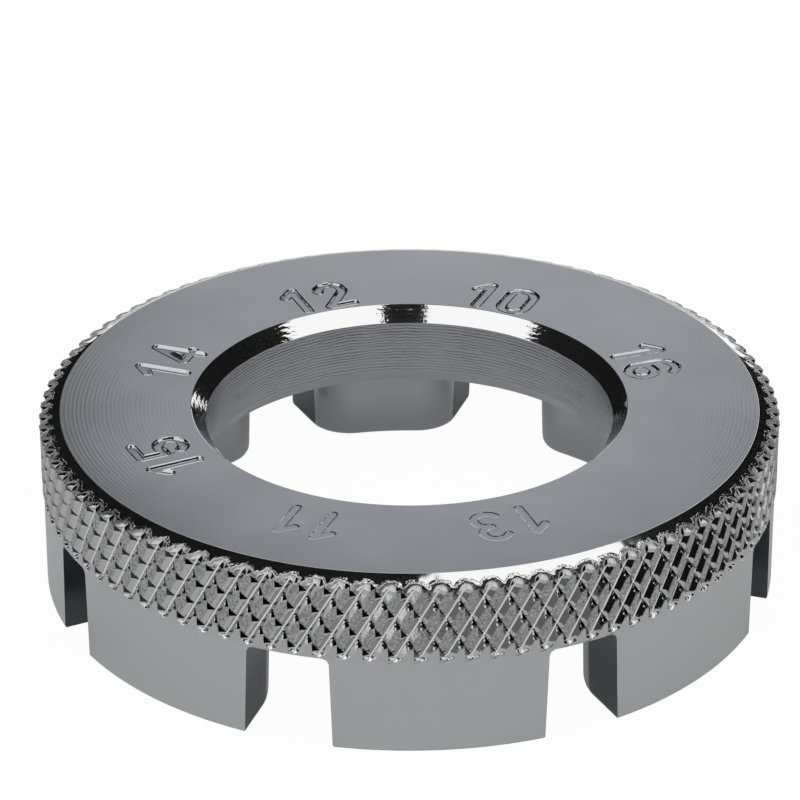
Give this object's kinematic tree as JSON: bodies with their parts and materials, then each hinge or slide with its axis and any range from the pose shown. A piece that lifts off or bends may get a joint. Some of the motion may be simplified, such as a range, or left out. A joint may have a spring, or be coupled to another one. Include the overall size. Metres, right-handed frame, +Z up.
{
  "type": "spoke wrench",
  "caption": "Round steel spoke wrench: a flat ring with a wide hole and a knurled rim, over a skirt that slots of different widths cut into tabs.",
  "frame": {"origin": "on the ring's axis, in the plane of the tabs' feet", "axes": "+Z up along the axis to the marked face; +X through the unmarked slot"},
  "size_m": [0.0442, 0.0442, 0.011],
  "materials": {
    "plated_steel": "satin plating, bright on the bevels"
  },
  "bodies": {
    "root": {"wrench_ring": "plated_steel"}
  },
  "joints": []
}
